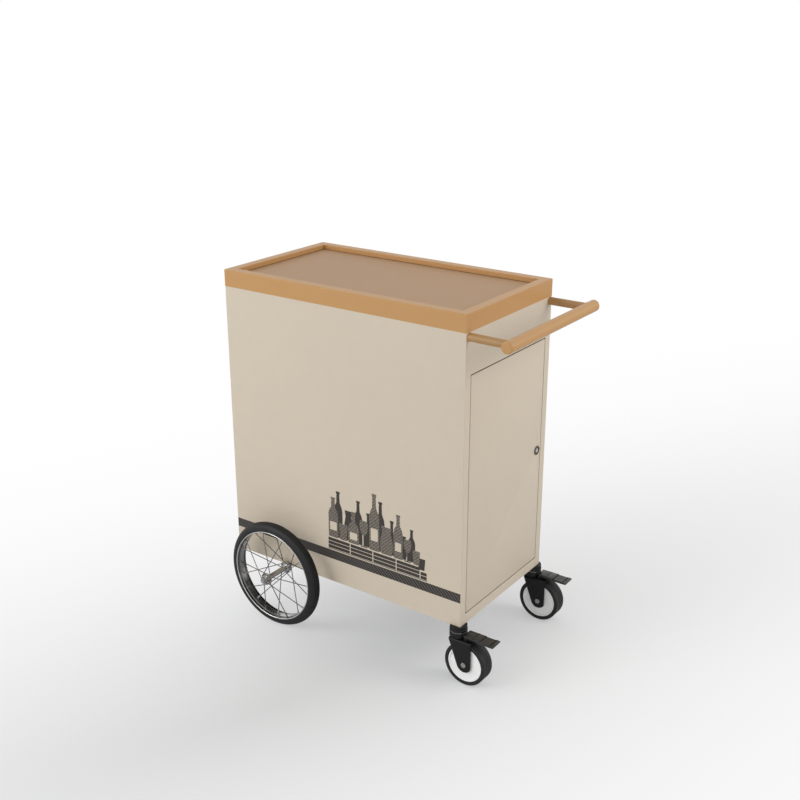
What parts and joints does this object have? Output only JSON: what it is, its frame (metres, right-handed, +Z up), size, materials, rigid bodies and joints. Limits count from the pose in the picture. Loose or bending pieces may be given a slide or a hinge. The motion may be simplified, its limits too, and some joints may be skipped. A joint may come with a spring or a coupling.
{
  "type": "beverage cart",
  "caption": "Push cart with a sheet steel cabinet, recessed serving tray, flush locking door, push handle, spoke wheels and braked swivel casters.",
  "frame": {"origin": "on the floor, under the middle of the whole cart's bounding box", "axes": "+Z up; +X from the spoke wheel end towards the door end, where the handle is; +Y towards the far long side"},
  "size_m": [0.931, 0.6608, 1.029],
  "materials": {
    "cream": "satin powder coat",
    "ochre": "satin powder coat",
    "tray": "satin powder coat",
    "zinc": "bright zinc plated",
    "bush": "moulded",
    "chrome": "bright plated",
    "spoke_steel": "drawn wire",
    "rim": "satin",
    "tyre": "matte rubber",
    "tread": "matte rubber",
    "caster_centre": "moulded",
    "black_steel": "satin black",
    "pedal": "satin dark grey"
  },
  "bodies": {
    "cabinet": {"side_panel_near": "cream", "side_panel_far": "cream", "wheel_end_panel": "cream", "door_end_frame": "cream", "base_pan": "cream", "shelf": "cream", "rail_near": "ochre", "rail_far": "ochre", "rail_door": "ochre", "rail_wheel": "ochre", "handle_arm_near": "ochre", "handle_arm_far": "ochre", "handle_bar": "ochre", "handle_caps": "ochre", "tray_floor": "tray", "post_door_near": "zinc", "post_door_far": "zinc", "post_wheel_near": "zinc", "post_wheel_far": "zinc", "lower_frame": "zinc", "upper_frame": "zinc", "shelf_angles": "zinc", "axle_rod": "zinc", "axle_bracket_near": "zinc", "axle_bracket_far": "zinc", "axle_spacers": "zinc", "hinge_pins": "zinc", "axle_nuts": "chrome", "caster_stem_near": "black_steel", "caster_stem_far": "black_steel"},
    "door": {"door_pan": "cream", "door_inner": "cream", "hinge_bushes": "bush", "lock_housing": "chrome", "lock_nut": "zinc"},
    "lock": {"lock_plug": "chrome", "lock_cam": "zinc"},
    "spoke_wheel_near": {"wheel_tyre_near": "tyre", "wheel_rim_near": "rim", "wheel_hub_near": "chrome", "wheel_spokes_near": "spoke_steel", "wheel_nipples_near": "spoke_steel"},
    "caster_fork_near": {"caster_fork_near": "black_steel", "caster_head_near": "black_steel", "caster_bolt_near": "chrome"},
    "caster_wheel_near": {"caster_hub_near": "caster_centre", "caster_tread_near": "tread"},
    "brake_near": {"brake_pedal_near": "pedal"},
    "spoke_wheel_far": {"wheel_tyre_far": "tyre", "wheel_rim_far": "rim", "wheel_hub_far": "chrome", "wheel_spokes_far": "spoke_steel", "wheel_nipples_far": "spoke_steel"},
    "caster_fork_far": {"caster_fork_far": "black_steel", "caster_head_far": "black_steel", "caster_bolt_far": "chrome"},
    "caster_wheel_far": {"caster_hub_far": "caster_centre", "caster_tread_far": "tread"},
    "brake_far": {"brake_pedal_far": "pedal"}
  },
  "joints": [
    {"name": "door_swing", "type": "hinge", "parent": "cabinet", "child": "door", "pos_m": [0.3215, -0.173, 0.529], "axis": [0, 0, -1], "range_deg": [0, 120]},
    {"name": "lock_turn", "type": "hinge", "parent": "door", "child": "lock", "pos_m": [0.3295, 0.169, 0.544], "axis": [1, 0, 0], "range_deg": [0, 90]},
    {"name": "wheel_spin_near", "type": "hinge", "parent": "cabinet", "child": "spoke_wheel_near", "pos_m": [-0.2715, -0.27265, 0.16], "axis": [0, 1, 0], "continuous": true},
    {"name": "caster_swivel_near", "type": "hinge", "parent": "cabinet", "child": "caster_fork_near", "pos_m": [0.317, -0.2045, 0.1315], "axis": [0, 0, 1], "continuous": true},
    {"name": "caster_spin_near", "type": "hinge", "parent": "caster_fork_near", "child": "caster_wheel_near", "pos_m": [0.35, -0.2045, 0.0625], "axis": [0, 1, 0], "continuous": true},
    {"name": "brake_press_near", "type": "hinge", "parent": "caster_fork_near", "child": "brake_near", "pos_m": [0.347, -0.2045, 0.1375], "axis": [0, 1, 0], "range_deg": [0, 8]},
    {"name": "wheel_spin_far", "type": "hinge", "parent": "cabinet", "child": "spoke_wheel_far", "pos_m": [-0.2715, 0.27265, 0.16], "axis": [0, 1, 0], "continuous": true},
    {"name": "caster_swivel_far", "type": "hinge", "parent": "cabinet", "child": "caster_fork_far", "pos_m": [0.317, 0.2045, 0.1315], "axis": [0, 0, 1], "continuous": true},
    {"name": "caster_spin_far", "type": "hinge", "parent": "caster_fork_far", "child": "caster_wheel_far", "pos_m": [0.35, 0.2045, 0.0625], "axis": [0, 1, 0], "continuous": true},
    {"name": "brake_press_far", "type": "hinge", "parent": "caster_fork_far", "child": "brake_far", "pos_m": [0.347, 0.2045, 0.1375], "axis": [0, 1, 0], "range_deg": [0, 8]}
  ]
}
